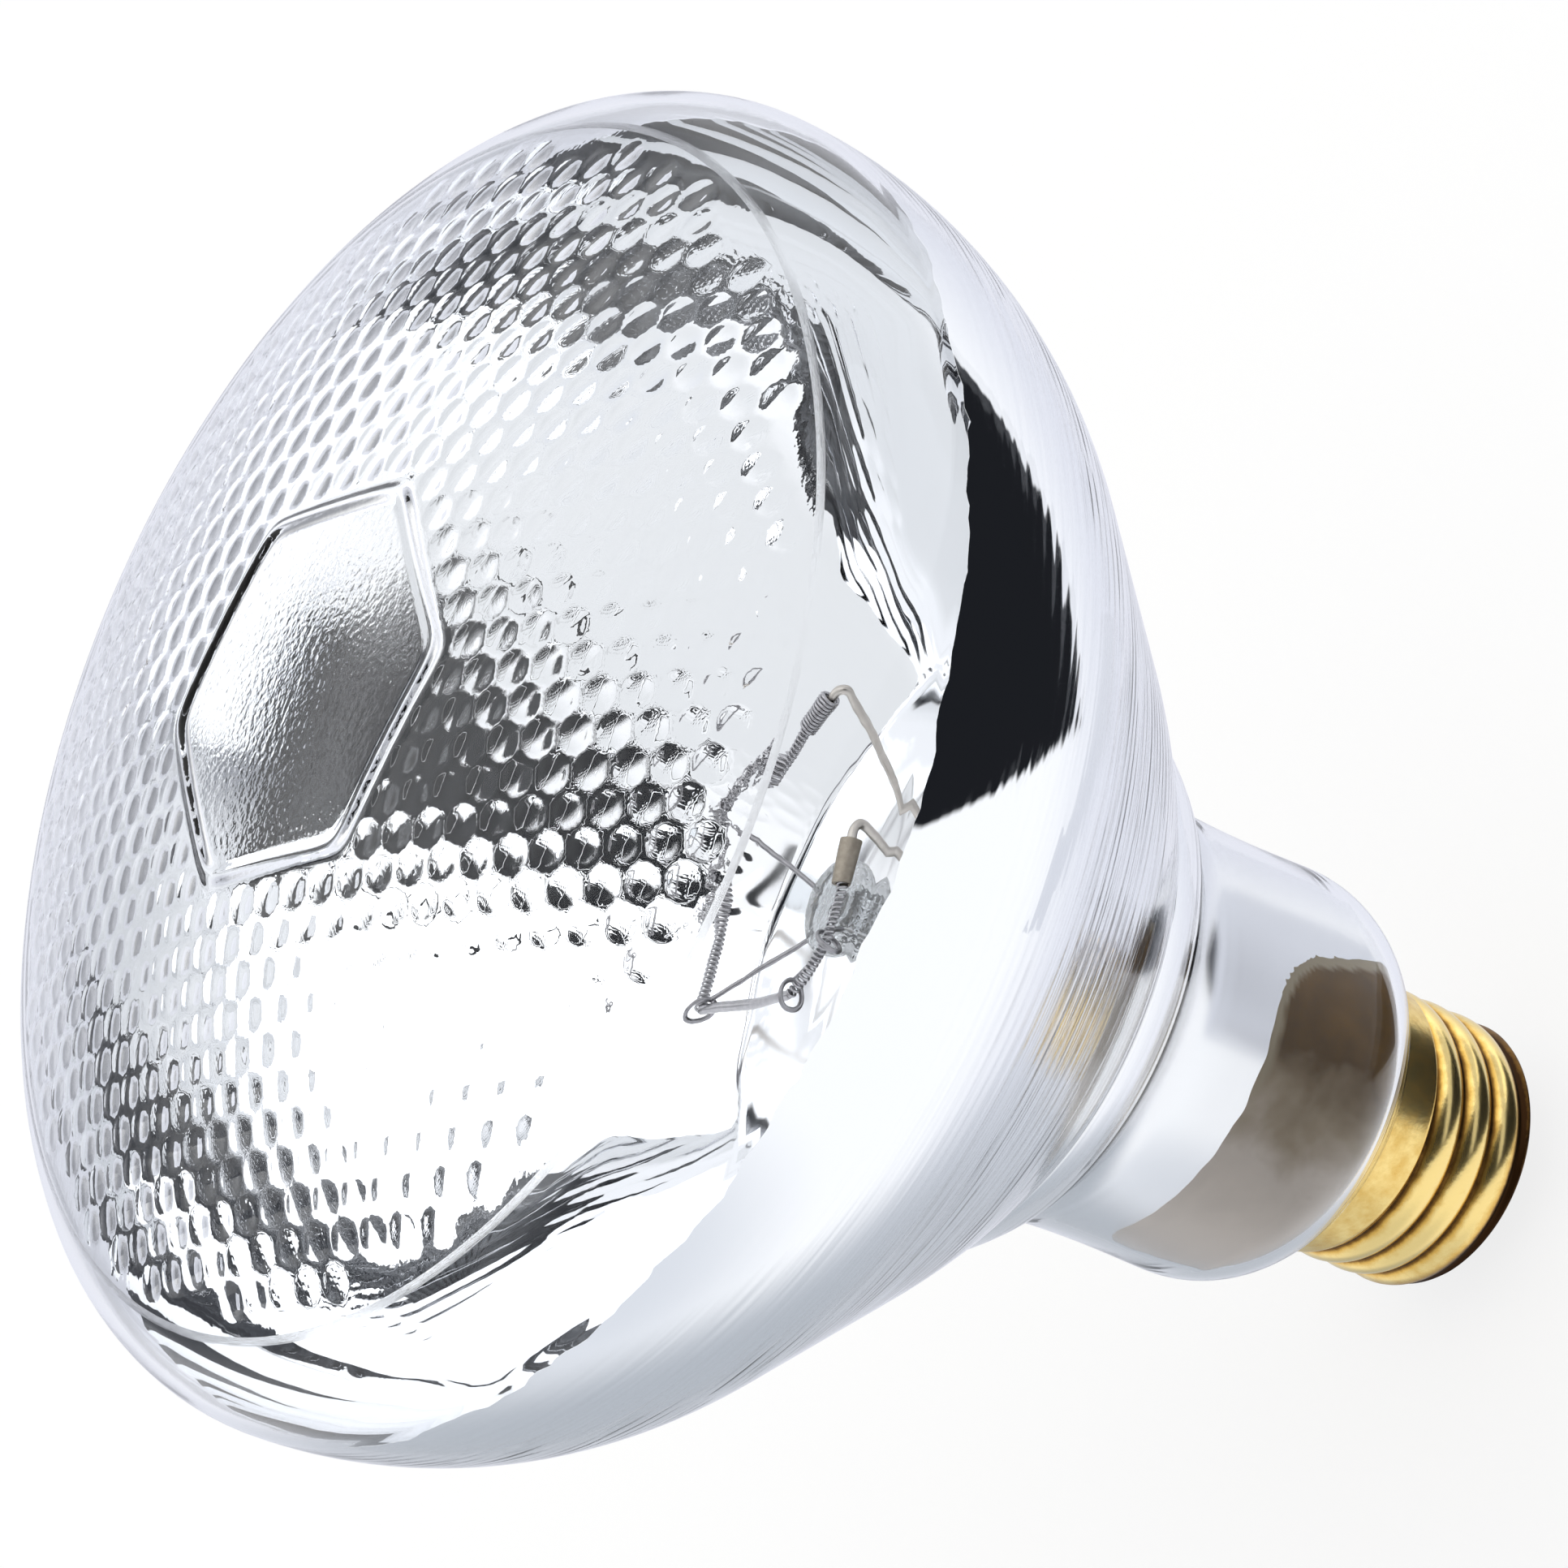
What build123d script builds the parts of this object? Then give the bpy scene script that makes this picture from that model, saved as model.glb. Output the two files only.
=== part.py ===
"""Reflector lamp: clear domed face, mirrored cone, bulged neck and a medium brass screw base.

The lamp stands on its centre contact, with its axis along +Z and the origin on the contact's face.
The side that shows the bare window in the mirror faces -Y.
"""

import os
from math import acos, asin, cos, degrees, radians, sin, sqrt

from build123d import *

os.makedirs("parts", exist_ok=True)

# Driving dimensions, in millimetres and degrees

# Screw base
thread_diameter = 26.2
thread_pitch = 3.629
thread_depth = 0.69
thread_crest_width = 3.4
thread_drop = 2.0
thread_start_turn = 90.0
collar_diameter = 26.5
collar_height = 4.4
shell_wall = 0.3
shell_height = 17.9
shell_foot_radius = 2.5
shell_lip_width = 1.15
contact_diameter = 9.4
contact_thickness = 0.4
contact_hole_diameter = 1.2
rivet_diameter = 3.2
rivet_length = 2.6
solder_diameter = 6.8
solder_flat_diameter = 4.4
solder_height = 0.9
insulator_height = 3.7
insulator_depth = 2.4

# Glass envelope, as arcs and straight runs from the seal skirt up to the face
glass_wall = 1.0
skirt_diameter = 22.8
skirt_length = 5.0
skirt_fillet = 1.5
shoulder_radius = 10.0
bulge_diameter = 39.6
neck_flare = 1.5
neck_run = 4.2
waist_radius = 140.0
step_foot_slope = 4.0
step_radius = 11.0
step_slope = 55.0
lip_radius = 2.2
bead_low_slope = 38.0
bead_radius = 24.0
bead_top_slope = 22.0
crease_radius = 2.0
cone_foot_slope = 47.0
cone_foot_radius = 90.0
cone_slope = 38.5
reflector_radius = 42.0
rim_diameter = 120.65
rim_corner_radius = 11.0
face_height = 21.15
collar_clearance = 0.2

# Raised hexagon in the middle of the face
hexagon_radius = 18.3
hexagon_turn = 53.5
ridge_width = 2.4
ridge_height = 0.42

# Mirror film on the inside wall
film_thickness = 0.15
film_gap = 0.1
film_below_rim = 0.75
film_above_skirt = 4.0
window_turn = -101.0
window_width = 33.0
window_height = 15.5
window_rise = 2.8
window_corner = 5.0

# Stem and mount
seal_inset = 0.2
stem_diameter = 11.0
stem_wall = 0.8
press_height = 14.0
press_taper = 4.0
press_width = 12.0
press_thickness = 5.0
press_corner = 1.5
exhaust_diameter = 4.4
exhaust_wall = 0.7
exhaust_reach = 4.5
arbor_diameter = 3.0
arbor_length = 24.0
button_diameter = 9.0
button_height = 3.0
button_round = 1.0
button_below_filament = 5.0

# Filament, its hooks and its leads
filament_height = 83.0
filament_diameter = 1.4
support_angles = [-112.5, -150.0, 145.5, 80.0]
support_reaches = [7.8, 10.0, 16.2, 18.0]
support_diameter = 0.5
support_seat = 1.2
hook_clearance = 0.5
filament_bend = 0.8
lead_diameter = 0.9
lead_spacing = 6.8
lead_bend = 1.0
lead_weld_depth = 8.0
lead_straight = 1.5
lead_1_angle = 24.8
lead_1_reach = 20.3
lead_2_angle = -23.0
lead_2_reach = 8.4
lead_tail = 4.0
clamp_diameter = 2.0
clamp_length = 4.0
outer_lead_diameter = 0.5
outer_lead_bend = 0.6
side_lead_turn = 20.0
side_lead_drop = 2.0
side_solder_radius = 1.5
side_solder_sink = 0.7

# Heights and radii that follow

crest_radius = thread_diameter / 2
root_radius = crest_radius - thread_depth
shell_bottom = solder_height + contact_thickness + insulator_height
shell_top = shell_bottom + shell_height
collar_bottom = shell_top - collar_height
skirt_radius = skirt_diameter / 2
bulge_radius = bulge_diameter / 2
rim_radius = rim_diameter / 2
stem_radius = stem_diameter / 2
collar_radius = collar_diameter / 2
seat_radius = collar_radius - shell_foot_radius
mouth_radius = seat_radius - shell_lip_width
contact_radius = contact_diameter / 2
contact_hole = contact_hole_diameter / 2
rivet_radius = rivet_diameter / 2
contact_top = solder_height + contact_thickness
rivet_top = contact_top + rivet_length
seat_height = shell_bottom + shell_wall
insulator_top = seat_height + insulator_depth

shoulder_slope = degrees(acos(1 - (bulge_radius - skirt_radius) / (shoulder_radius + skirt_fillet)))
skirt_top = shell_top + collar_clearance - skirt_fillet * sin(radians(shoulder_slope))
skirt_bottom = skirt_top - skirt_length


def arc_gain(radius, slope, new_slope):
    """Radial gain of an arc that turns the outline from one slope to another."""
    return radius * abs(cos(radians(slope)) - cos(radians(new_slope)))


waist_gain = waist_radius * (cos(radians(neck_flare)) - cos(radians(step_foot_slope)))
neck_top_radius = (
    bulge_radius
    - arc_gain(shoulder_radius, 0, neck_flare)
    - neck_run * sin(radians(neck_flare))
    + waist_gain
)
cone_foot = neck_top_radius + sum(
    arc_gain(radius, slope, new_slope)
    for radius, slope, new_slope in [
        (step_radius, step_foot_slope, step_slope),
        (lip_radius, step_slope, bead_low_slope),
        (bead_radius, bead_low_slope, bead_top_slope),
        (crease_radius, bead_top_slope, cone_foot_slope),
        (cone_foot_radius, cone_foot_slope, cone_slope),
    ]
)
cone_top = rim_radius - arc_gain(reflector_radius, cone_slope, 0)
cone_run = (cone_top - cone_foot) / sin(radians(cone_slope))

# The face is a ball cap that runs into the rim's corner
corner_offset = rim_radius - rim_corner_radius
face_radius = (face_height**2 + corner_offset**2 - rim_corner_radius**2) / (
    2 * (face_height - rim_corner_radius)
)
face_slope = degrees(asin(corner_offset / (face_radius - rim_corner_radius))) - 90

# Each run of the outline: its radius (or length) and its slope from the axis at its upper end
outline_runs = [
    ("arc", skirt_fillet, shoulder_slope),
    ("arc", shoulder_radius, -neck_flare),
    ("straight", neck_run, -neck_flare),
    ("arc", waist_radius, step_foot_slope),
    ("arc", step_radius, step_slope),
    ("arc", lip_radius, bead_low_slope),
    ("arc", bead_radius, bead_top_slope),
    ("arc", crease_radius, cone_foot_slope),
    ("arc", cone_foot_radius, cone_slope),
    ("straight", cone_run, cone_slope),
    ("arc", reflector_radius, 0),
    ("arc", rim_corner_radius, face_slope),
]


def bulb_solid(inset):
    """The bulb's outer form, moved in by inset: arcs that bulge shrink and hollow ones grow."""
    with BuildPart() as bulb:
        with BuildSketch(Plane.XZ):
            with BuildLine():
                skirt = Line((skirt_radius - inset, skirt_bottom), (skirt_radius - inset, skirt_top))
                pen = skirt
                slope = 0
                for kind, size, new_slope in outline_runs:
                    turn = slope - new_slope
                    if kind == "straight":
                        pen = Line(pen @ 1, pen @ 1 + (pen % 1) * size)
                    elif turn > 0:
                        pen = JernArc(pen @ 1, pen % 1, size - inset, turn)
                    else:
                        pen = JernArc(pen @ 1, pen % 1, size + inset, turn)
                    slope = new_slope
                edge = pen @ 1
                ball = face_radius - inset
                crown = (0, edge.Y + ball - sqrt(ball**2 - edge.X**2))
                TangentArc(edge, crown, tangent=pen % 1)
                Polyline(crown, (0, skirt_bottom), skirt @ 0)
            make_face()
        revolve(axis=Axis.Z)
    return bulb.part


bulb_outside = bulb_solid(0)
bulb_inside = bulb_solid(glass_wall)
film_outside = bulb_solid(glass_wall + film_gap)
film_inside = bulb_solid(glass_wall + film_gap + film_thickness)

apex_height = bulb_outside.bounding_box().max.Z
rim_height = apex_height - face_height
face_centre = apex_height - face_radius
film_top = rim_height - film_below_rim
film_bottom = skirt_top + film_above_skirt

# Glass envelope: one blown piece, with the ridge moulded on its face
with BuildPart() as hexagon_ridge:
    with BuildSketch(Plane.XY.offset(rim_height)):
        RegularPolygon(hexagon_radius + ridge_width / 2, 6, rotation=hexagon_turn)
        RegularPolygon(hexagon_radius - ridge_width / 2, 6, rotation=hexagon_turn, mode=Mode.SUBTRACT)
    extrude(amount=face_height)
    with Locations((0, 0, face_centre)):
        Sphere(face_radius + ridge_height, mode=Mode.INTERSECT)
        Sphere(face_radius - glass_wall / 2, mode=Mode.SUBTRACT)

with BuildPart() as glass_envelope:
    add(bulb_outside)
    add(bulb_inside, mode=Mode.SUBTRACT)
    add(hexagon_ridge.part)
glass_envelope.part.label = "glass_envelope"
export_step(glass_envelope.part, "parts/glass_envelope.step")

# Mirror film, with its bare window on the neck
window_centre = film_bottom + window_rise + window_height / 2
window_side = Vector(cos(radians(window_turn)), sin(radians(window_turn)), 0)
window_plane = Plane((0, 0, window_centre), x_dir=(-window_side.Y, window_side.X, 0), z_dir=window_side)
with BuildPart() as reflector_film:
    add(film_outside)
    add(film_inside, mode=Mode.SUBTRACT)
    with Locations((0, 0, film_bottom)):
        Cylinder(
            rim_radius,
            film_top - film_bottom,
            align=(Align.CENTER, Align.CENTER, Align.MIN),
            mode=Mode.INTERSECT,
        )
    with BuildSketch(window_plane):
        RectangleRounded(window_width, window_height, window_corner)
    extrude(amount=bulge_radius, mode=Mode.SUBTRACT)
reflector_film.part.label = "reflector_film"
export_step(reflector_film.part, "parts/reflector_film.step")


def ring_point(turn, reach):
    """A point in the filament's plane, by its direction and its distance from the axis."""
    return Vector(reach * cos(radians(turn)), reach * sin(radians(turn)), filament_height)


# Inner leads: straight up from the press, out to the filament's plane and round into its line
button_middle = filament_height - button_below_filament
button_bottom = button_middle - button_height / 2
press_top = button_bottom - arbor_length
stem_top = press_top - press_height
weld_height = press_top - lead_weld_depth
support_points = [ring_point(turn, reach) for turn, reach in zip(support_angles, support_reaches)]
lead_corners = [ring_point(lead_1_angle, lead_1_reach), ring_point(lead_2_angle, lead_2_reach)]
lead_sides = [lead_spacing / 2, -lead_spacing / 2]
filament_ends = [
    lead_corners[0] + (support_points[-1] - lead_corners[0]).normalized() * lead_tail,
    lead_corners[1] + (support_points[0] - lead_corners[1]).normalized() * lead_tail,
]
inner_leads = []
for number, (side, corner, end) in enumerate(zip(lead_sides, lead_corners, filament_ends), 1):
    with BuildPart() as inner_lead:
        with BuildLine() as lead_path:
            FilletPolyline(
                (0, side, weld_height),
                (0, side, press_top + lead_straight),
                corner,
                end,
                radius=lead_bend,
            )
        with BuildSketch(Plane(lead_path.line @ 0, z_dir=lead_path.line % 0)):
            Circle(lead_diameter / 2)
        sweep()
    inner_lead.part.label = f"inner_lead_{number}"
    export_step(inner_lead.part, f"parts/inner_lead_{number}.step")
    inner_leads.append(inner_lead.part)

# Filament: the coil's outer form, from hook to hook
with BuildPart() as filament:
    with BuildLine() as filament_path:
        FilletPolyline(filament_ends[1], *support_points, filament_ends[0], radius=filament_bend)
    with BuildSketch(Plane(filament_path.line @ 0, z_dir=filament_path.line % 0)):
        Circle(filament_diameter / 2)
    sweep()
filament.part.label = "filament"
export_step(filament.part, "parts/filament.step")

# Crimp sleeves, half on the lead and half on the filament
for number, (corner, end, lead) in enumerate(zip(lead_corners, filament_ends, inner_leads), 1):
    sleeve_line = (end - corner).normalized()
    with BuildPart() as filament_clamp:
        with BuildSketch(Plane(end, z_dir=sleeve_line)):
            Circle(clamp_diameter / 2)
        extrude(amount=clamp_length / 2, both=True)
        add(lead, mode=Mode.SUBTRACT)
        add(filament.part, mode=Mode.SUBTRACT)
    filament_clamp.part.label = f"filament_clamp_{number}"
    export_step(filament_clamp.part, f"parts/filament_clamp_{number}.step")

# Support wires: from the glass button out to a closed hook round the filament
hook_radius = filament_diameter / 2 + hook_clearance + support_diameter / 2
support_wires = []
for number, (turn, reach) in enumerate(zip(support_angles, support_reaches), 1):
    outward = Vector(cos(radians(turn)), sin(radians(turn)), 0)
    with BuildPart() as support_wire:
        with BuildLine() as support_path:
            Line(
                outward * (button_diameter / 2 - support_seat) + Vector(0, 0, button_middle),
                ring_point(turn, reach - hook_radius),
            )
        with BuildSketch(Plane(support_path.line @ 0, z_dir=support_path.line % 0)):
            Circle(support_diameter / 2)
        sweep()
        with Locations(Plane(ring_point(turn, reach), z_dir=(-outward.Y, outward.X, 0))):
            Torus(hook_radius, support_diameter / 2)
    support_wire.part.label = f"support_wire_{number}"
    export_step(support_wire.part, f"parts/support_wire_{number}.step")
    support_wires.append(support_wire.part)

# Outer leads: down the stem, one out through the collar and one into the contact
exhaust_tip = skirt_bottom - exhaust_reach
side_lead_radius = (skirt_radius + root_radius - shell_wall) / 2
side_lead_height = (collar_bottom + shell_top) / 2
side_lead_out = Vector(cos(radians(side_lead_turn)), sin(radians(side_lead_turn)), 0)
side_lead_low = Vector(0, 0, skirt_bottom - side_lead_drop)
side_lead_high = Vector(0, 0, side_lead_height)
outer_lead_routes = {
    "outer_lead_contact": [
        (0, lead_sides[0], weld_height),
        (0, lead_sides[0], exhaust_tip - outer_lead_bend),
        (0, 0, insulator_top + 2 * outer_lead_bend),
        (0, 0, solder_height / 2),
    ],
    "outer_lead_shell": [
        (0, lead_sides[1], weld_height),
        Vector(0, lead_sides[1], 0) + side_lead_low,
        side_lead_out * side_lead_radius + side_lead_low,
        side_lead_out * side_lead_radius + side_lead_high,
        side_lead_out * (collar_radius + side_solder_radius / 4) + side_lead_high,
    ],
}
outer_leads = {}
for name, route in outer_lead_routes.items():
    with BuildPart() as outer_lead:
        with BuildLine() as outer_path:
            FilletPolyline(*route, radius=outer_lead_bend)
        with BuildSketch(Plane(outer_path.line @ 0, z_dir=outer_path.line % 0)):
            Circle(outer_lead_diameter / 2)
        sweep()
    outer_lead.part.label = name
    export_step(outer_lead.part, f"parts/{name}.step")
    outer_leads[name] = outer_lead.part

# Glass stem: flare, tube, press, exhaust tube, arbor and button, with the wires sealed in
flare_rim = skirt_radius - glass_wall
flare_radius = flare_rim - stem_radius
flare_top = skirt_bottom + seal_inset + stem_wall + flare_radius
with BuildPart() as glass_stem:
    with BuildSketch(Plane.XZ):
        with BuildLine():
            inner_flare = CenterArc((flare_rim, flare_top), flare_radius + stem_wall, 180, 90)
            outer_flare = CenterArc((flare_rim, flare_top), flare_radius, 180, 90)
            Line(inner_flare @ 1, outer_flare @ 1)
            Polyline(
                inner_flare @ 0,
                (stem_radius - stem_wall, stem_top),
                (stem_radius, stem_top),
                outer_flare @ 0,
            )
        make_face()
    revolve(axis=Axis.Z)
    with BuildSketch(Plane.XY.offset(stem_top)):
        Circle(stem_radius)
    with BuildSketch(Plane.XY.offset(stem_top + press_taper)):
        RectangleRounded(press_thickness, press_width, press_corner)
    loft()
    with BuildSketch(Plane.XY.offset(stem_top + press_taper)):
        RectangleRounded(press_thickness, press_width, press_corner)
    extrude(amount=press_height - press_taper)
    with BuildSketch(Plane.XY.offset(press_top)):
        Circle(arbor_diameter / 2)
    extrude(amount=arbor_length)
    with BuildSketch(Plane.XZ):
        with BuildLine():
            Polyline(
                (0, button_bottom),
                (button_diameter / 2, button_bottom),
                (button_diameter / 2, button_bottom + button_height),
                (0, button_bottom + button_height),
                close=True,
            )
        button_face = make_face()
        fillet(button_face.vertices().group_by(Axis.X)[-1], button_round)
    revolve(axis=Axis.Z)
    with BuildSketch(Plane.XY.offset(stem_top)):
        Circle(exhaust_diameter / 2)
    extrude(amount=exhaust_tip + exhaust_diameter / 2 - stem_top)
    with Locations((0, 0, exhaust_tip + exhaust_diameter / 2)):
        Sphere(exhaust_diameter / 2)
    with BuildSketch(Plane.XY.offset(stem_top)):
        Circle(exhaust_diameter / 2 - exhaust_wall)
    extrude(amount=exhaust_tip + exhaust_diameter / 2 - stem_top, mode=Mode.SUBTRACT)
    add([*inner_leads, *support_wires, *outer_leads.values()], mode=Mode.SUBTRACT)
glass_stem.part.label = "glass_stem"
export_step(glass_stem.part, "parts/glass_stem.step")


def shell_solid(inset):
    """The screw shell's outer form, moved in by inset: root tube, thread, collar and rounded foot."""
    foot = shell_bottom + inset
    crest_half = sqrt(thread_depth * (2 * (crest_arc - inset) - thread_depth))
    thread_rise = collar_bottom + thread_crest_width / 2 - thread_start
    with BuildPart() as shell:
        with BuildSketch(Plane.XY.offset(foot)):
            Circle(root_radius - inset)
        extrude(amount=shell_top - foot)
        with BuildLine() as thread_path:
            Helix(thread_pitch, thread_rise, root_radius - inset, center=(0, 0, thread_start))
        with BuildSketch(Plane(thread_path.line @ 0, x_dir=(1, 0, 0), z_dir=thread_path.line % 0)):
            with BuildLine():
                crest = ThreePointArc((0, -crest_half), (thread_depth, 0), (0, crest_half))
                Polyline(crest @ 1, (-shell_wall, crest_half), (-shell_wall, -crest_half), crest @ 0)
            make_face()
        sweep(is_frenet=True)
        with BuildSketch(Plane.XY.offset(collar_bottom)):
            Circle(collar_radius - inset)
        extrude(amount=collar_height)
        with BuildSketch(Plane.XZ):
            with BuildLine():
                side = Line(
                    (collar_radius - inset, shell_top),
                    (collar_radius - inset, shell_bottom + shell_foot_radius),
                )
                foot_round = JernArc(side @ 1, side % 1, shell_foot_radius - inset, -90)
                Polyline(foot_round @ 1, (0, foot), (0, shell_top), side @ 0)
            make_face()
        revolve(axis=Axis.Z, mode=Mode.INTERSECT)
    return shell.part.rotate(Axis.Z, thread_start_turn)


# Screw shell: thin brass, rolled so that the thread shows inside and out
crest_arc = (thread_crest_width**2 / 4 + thread_depth**2) / (2 * thread_depth)
thread_start = shell_bottom - thread_drop
shell_outside = shell_solid(0)
shell_inside = shell_solid(shell_wall)
with BuildPart() as screw_shell:
    add(shell_outside)
    add(shell_inside, mode=Mode.SUBTRACT)
    with BuildSketch(Plane.XY.offset(shell_bottom)):
        Circle(mouth_radius)
    extrude(amount=shell_wall, mode=Mode.SUBTRACT)
    add(outer_leads["outer_lead_shell"], mode=Mode.SUBTRACT)
screw_shell.part.label = "screw_shell"
export_step(screw_shell.part, "parts/screw_shell.step")

# Cement between the glass skirt and the collar
with BuildPart() as basing_cement:
    with BuildSketch(Plane.XY.offset(collar_bottom)):
        Circle(collar_radius - shell_wall)
        Circle(skirt_radius, mode=Mode.SUBTRACT)
    extrude(amount=skirt_top - collar_bottom)
    add(outer_leads["outer_lead_shell"], mode=Mode.SUBTRACT)
basing_cement.part.label = "basing_cement"
export_step(basing_cement.part, "parts/basing_cement.step")

# Solder spot on the collar
with BuildPart() as side_solder:
    with Locations(side_lead_out * (collar_radius - side_solder_sink) + side_lead_high):
        Sphere(side_solder_radius)
    with BuildSketch(Plane.XY.offset(collar_bottom)):
        Circle(collar_radius)
    extrude(amount=collar_height, mode=Mode.SUBTRACT)
    add(shell_outside, mode=Mode.SUBTRACT)
    add(outer_leads["outer_lead_shell"], mode=Mode.SUBTRACT)
side_solder.part.label = "side_solder"
export_step(side_solder.part, "parts/side_solder.step")

# Black glass insulator, seated on the shell's foot
with BuildPart() as base_insulator:
    with BuildSketch(Plane.XZ):
        with BuildLine():
            Polyline(
                (rivet_radius, contact_top),
                (contact_radius, contact_top),
                (mouth_radius, shell_bottom),
                (mouth_radius, seat_height),
                (seat_radius, seat_height),
                (seat_radius, insulator_top),
                (contact_hole, insulator_top),
                (contact_hole, rivet_top),
                (rivet_radius, rivet_top),
                close=True,
            )
        make_face()
    revolve(axis=Axis.Z)
base_insulator.part.label = "base_insulator"
export_step(base_insulator.part, "parts/base_insulator.step")

# Brass eyelet: a disc with a hollow rivet
with BuildPart() as centre_contact:
    with BuildSketch(Plane.XY.offset(solder_height)):
        Circle(contact_radius)
    extrude(amount=contact_thickness)
    with BuildSketch(Plane.XY.offset(contact_top)):
        Circle(rivet_radius)
    extrude(amount=rivet_length)
    with Locations((0, 0, rivet_top)):
        Hole(contact_hole)
centre_contact.part.label = "centre_contact"
export_step(centre_contact.part, "parts/centre_contact.step")

# Solder dome, worn flat where it meets the socket
with BuildPart() as contact_solder:
    with BuildSketch(Plane.XZ):
        with BuildLine():
            dome = TangentArc(
                (solder_flat_diameter / 2, 0), (solder_diameter / 2, solder_height), tangent=(1, 0)
            )
            Polyline(dome @ 1, (0, solder_height), (0, 0), dome @ 0)
        make_face()
    revolve(axis=Axis.Z)
    add(outer_leads["outer_lead_contact"], mode=Mode.SUBTRACT)
contact_solder.part.label = "contact_solder"
export_step(contact_solder.part, "parts/contact_solder.step")
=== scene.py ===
import bpy
import numpy as np
from mathutils import Matrix, Vector
from mathutils.geometry import delaunay_2d_cdt


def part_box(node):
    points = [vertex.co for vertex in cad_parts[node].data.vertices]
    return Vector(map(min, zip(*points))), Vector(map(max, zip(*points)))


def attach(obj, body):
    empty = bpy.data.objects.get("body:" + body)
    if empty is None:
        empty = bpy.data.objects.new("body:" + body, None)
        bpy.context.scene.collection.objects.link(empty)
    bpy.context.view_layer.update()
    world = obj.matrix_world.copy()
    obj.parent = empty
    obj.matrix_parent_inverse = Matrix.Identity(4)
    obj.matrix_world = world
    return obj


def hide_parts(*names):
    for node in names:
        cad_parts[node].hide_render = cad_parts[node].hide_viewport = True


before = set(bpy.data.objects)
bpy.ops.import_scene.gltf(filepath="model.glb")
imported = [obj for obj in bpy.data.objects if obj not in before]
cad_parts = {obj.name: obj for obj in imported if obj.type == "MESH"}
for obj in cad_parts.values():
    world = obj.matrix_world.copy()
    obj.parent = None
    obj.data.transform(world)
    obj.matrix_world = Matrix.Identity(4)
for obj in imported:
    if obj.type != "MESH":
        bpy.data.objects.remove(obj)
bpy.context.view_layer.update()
scene = bpy.context.scene
scene.view_settings.view_transform = "Standard"

# enough bounces to pass the glass, the mirror and the glass again, and few enough to render quickly
scene.cycles.max_bounces = 13
scene.cycles.diffuse_bounces = 1
scene.cycles.glossy_bounces = 7
scene.cycles.transmission_bounces = 11

mm = 0.001  # sizes in this script are in mm, and angles in its dictionaries in degrees
rng = np.random.default_rng(38)
print("frame loaded:", len(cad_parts), "nodes")


# small tools

def linearColour(hexColour):
    # sRGB hex to linear light
    parts = [int(hexColour[i:i + 2], 16) / 255 for i in (1, 3, 5)]
    return (*[p / 12.92 if p <= 0.04045 else ((p + 0.055) / 1.055) ** 2.4 for p in parts], 1.0)


def addNode(tree, kind, inputs=None, **settings):
    # one node, its settings, and a value or a link for each named or numbered input
    node = tree.nodes.new(kind)
    for name, value in settings.items():
        setattr(node, name, value)
    for socket, value in (inputs or {}).items():
        if isinstance(value, bpy.types.NodeSocket):
            tree.links.new(value, node.inputs[socket])
        else:
            node.inputs[socket].default_value = value
    return node


def newMaterial(name, **values):
    # a material with one Principled shader, whose constant values are set on its own sockets
    material = bpy.data.materials.new(name)
    material.use_nodes = True
    tree = material.node_tree
    shader = tree.nodes["Principled BSDF"]
    for socket, value in values.items():
        shader.inputs[socket.replace("_", " ")].default_value = value
    return material, tree, shader


def makePiece(name, points, faceGroups, material, slot, *replaced):
    # points in mm and groups of faces become one smooth mesh that rides on the lamp
    mesh = bpy.data.meshes.new(name)
    mesh.from_pydata((points * mm).tolist(), [], [face for group in faceGroups for face in group.tolist()])
    mesh.polygons.foreach_set("use_smooth", np.ones(len(mesh.polygons), bool))
    mesh.materials.append(material)
    piece = bpy.data.objects.new(name, mesh)
    scene.collection.objects.link(piece)
    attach(piece, "root")
    if replaced:
        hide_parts(*replaced)
    print(name, len(mesh.vertices), "points", len(mesh.polygons), "faces")
    return piece


def ringQuads(rows, columns, start=0):
    # quads between rings of points that close round the axis, facing out when the rows go up
    row, column = np.meshgrid(np.arange(rows - 1), np.arange(columns), indexing="ij")
    here, there = start + row * columns, (column + 1) % columns
    quads = np.stack([here + column, here + there, here + columns + there, here + columns + column], -1)
    return quads.reshape(-1, 4)


def ringPoints(radius, height, turn):
    # rows of radius and height, each carried round the axis through the angles in turn
    r, z = np.broadcast_arrays(np.reshape(radius, (len(radius), -1)), np.reshape(height, (len(height), -1)))
    return np.stack(np.broadcast_arrays(r * np.cos(turn), r * np.sin(turn), z), -1).reshape(-1, 3)


def waves(points, length, count=10):
    # a smooth random field: sine waves of about one length, in seeded directions
    direction = rng.normal(size=(count, points.shape[-1]))
    direction /= np.linalg.norm(direction, axis=1)[:, None]
    pace = 2 * np.pi / (length * rng.uniform(0.6, 1.6, count))
    phase = rng.uniform(0, 2 * np.pi, count)
    return np.sin(points @ (direction * pace[:, None]).T + phase).sum(-1) / np.sqrt(count / 2)


def smoothStep(value, low, high):
    # 0 at low and 1 at high, level at both ends: three t squared less two t cubed
    t = np.clip((value - low) / (high - low), 0, 1)
    return t * t * (3 - 2 * t)


# camera, where the photograph was taken from: its place in mm, and the picture's right and up

cameraSpot = dict(
    place=(8.029, -537.632, 458.693),
    right=(0.39314, -0.52014, -0.75822),
    up=(0.91948, 0.22239, 0.32419),
    pictureSide=1932,
    focusPixels=9240.8,
    sensor=36.0,
)

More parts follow.
